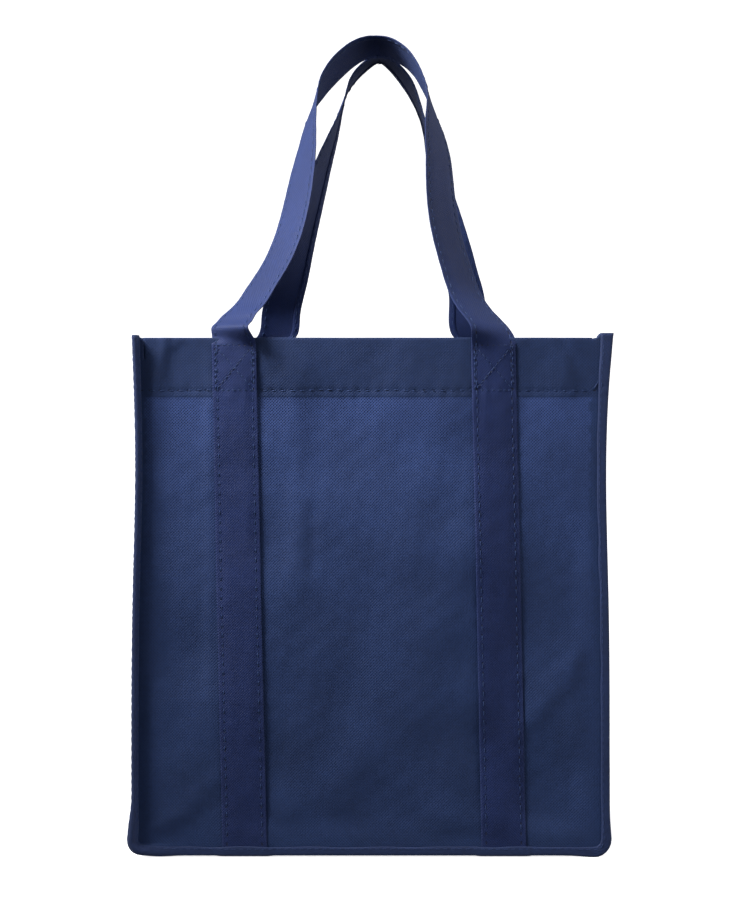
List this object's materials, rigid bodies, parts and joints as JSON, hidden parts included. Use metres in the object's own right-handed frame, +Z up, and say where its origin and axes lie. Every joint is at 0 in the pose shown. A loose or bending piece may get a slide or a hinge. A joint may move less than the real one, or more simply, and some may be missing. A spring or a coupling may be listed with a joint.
{
  "type": "reusable grocery tote bag",
  "caption": "Upright open tote of nonwoven cloth with a boxed base, taped seams, and wide sewn straps that run from the base up into carrying loops.",
  "frame": {"origin": "centre of the bag's footprint, on the floor that it stands on", "axes": "+Z up, -Y out of the front panel, +X to the right as seen from the front"},
  "size_m": [0.3078, 0.2197, 0.5366],
  "materials": {
    "panel_cloth": "embossed nonwoven, matte",
    "gusset_cloth": "embossed nonwoven, matte",
    "strap_cloth": "doubled embossed nonwoven, matte",
    "binding_tape": "folded nonwoven tape, matte",
    "base_board": "stiff sheet, matte"
  },
  "bodies": {
    "root": {"front_panel": "panel_cloth", "rear_panel": "panel_cloth", "gusset": "gusset_cloth", "front_strap": "strap_cloth", "rear_strap": "strap_cloth", "front_binding": "binding_tape", "rear_binding": "binding_tape", "base_board": "base_board"}
  },
  "joints": []
}
